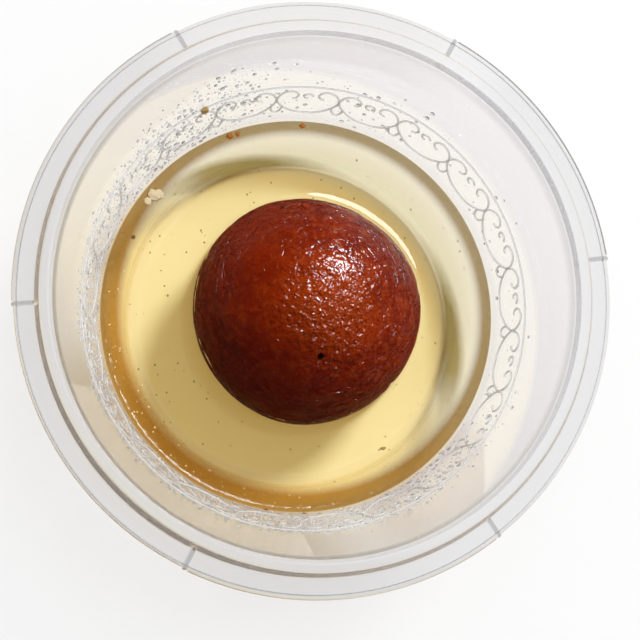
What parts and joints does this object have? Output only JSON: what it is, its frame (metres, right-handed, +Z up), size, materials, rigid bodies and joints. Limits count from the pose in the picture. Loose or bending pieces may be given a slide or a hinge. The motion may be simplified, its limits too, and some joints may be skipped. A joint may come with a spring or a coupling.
{
  "type": "gulab jamun",
  "caption": "Fried milk dumpling lying half under thin sugar syrup in a clear tapered takeaway pot with a stepped rim and ribs.",
  "frame": {"origin": "centre of the pot's foot, on the surface that the pot stands on", "axes": "+Z up along the pot's axis; +X and +Y across the pot, the dumpling lying slightly towards +X"},
  "size_m": [0.1099, 0.1099, 0.0556],
  "materials": {
    "clear_plastic": "gloss",
    "sugar_syrup": "polished",
    "fried_dough": "satin",
    "condensation": "polished"
  },
  "bodies": {
    "root": {"pot": "clear_plastic", "syrup": "sugar_syrup", "gulab_jamun": "fried_dough"}
  },
  "joints": []
}
